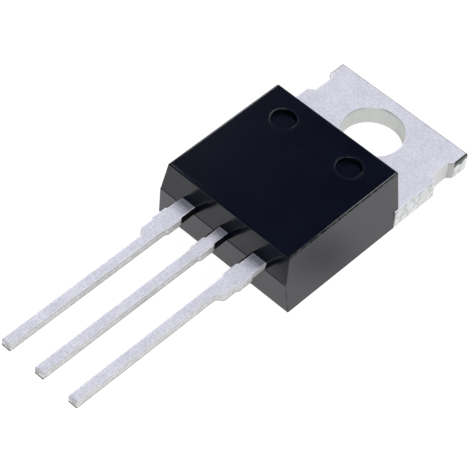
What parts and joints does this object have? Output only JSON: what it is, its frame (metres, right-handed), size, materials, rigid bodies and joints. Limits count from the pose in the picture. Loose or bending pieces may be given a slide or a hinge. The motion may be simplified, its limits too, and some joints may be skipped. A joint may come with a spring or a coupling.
{
  "type": "thyristor",
  "caption": "Three-lead power thyristor: black moulded body on a metal tab with a mounting hole, and three flat tinned leads in a row.",
  "frame": {"origin": "axis of the mounting hole, in the plane of the metal back", "axes": "+Z out of the metal back and up through the moulding; +Y towards the free end of the tab, so the leads point along -Y; +X to the gate lead's side"},
  "size_m": [0.01, 0.0296, 0.0044],
  "materials": {
    "moulding": "black filled epoxy, smooth satin",
    "tinned_copper": "matte plated copper with a fine grain",
    "silicon": "polished",
    "solder": "dull",
    "bond_wire": "satin"
  },
  "bodies": {
    "root": {"mould_body": "moulding", "anode_tab": "tinned_copper", "cathode_lead": "tinned_copper", "gate_lead": "tinned_copper", "silicon_die": "silicon", "die_solder": "solder", "cathode_wires": "bond_wire", "gate_wire": "bond_wire"}
  },
  "joints": []
}
